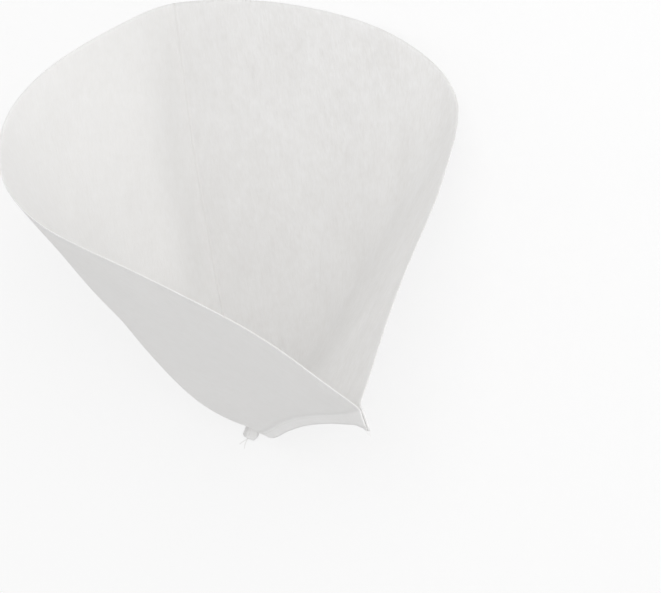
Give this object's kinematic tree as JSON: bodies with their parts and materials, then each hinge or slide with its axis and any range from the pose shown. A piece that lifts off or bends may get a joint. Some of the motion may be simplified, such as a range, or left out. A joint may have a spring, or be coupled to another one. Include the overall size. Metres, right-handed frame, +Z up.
{
  "type": "fryer oil filter cone",
  "caption": "Disposable cone of thin non-woven fabric that strains used fryer oil: one folded sheet with a sewn side seam, a closed tip and a wide open mouth.",
  "frame": {"origin": "centre of the bounding box's bottom, on the surface that the cone lies on", "axes": "+Z up from the surface, +Y along it from the closed tip towards the open mouth, +X to the right seen from above with the mouth away from the viewer"},
  "size_m": [0.2472, 0.259, 0.2135],
  "materials": {
    "filter_fabric": "matte white non-woven rayon, slightly translucent, with fine fibres running from tip to rim",
    "seam_thread": "matte white spun thread"
  },
  "bodies": {
    "root": {"filter_cone": "filter_fabric"}
  },
  "joints": []
}
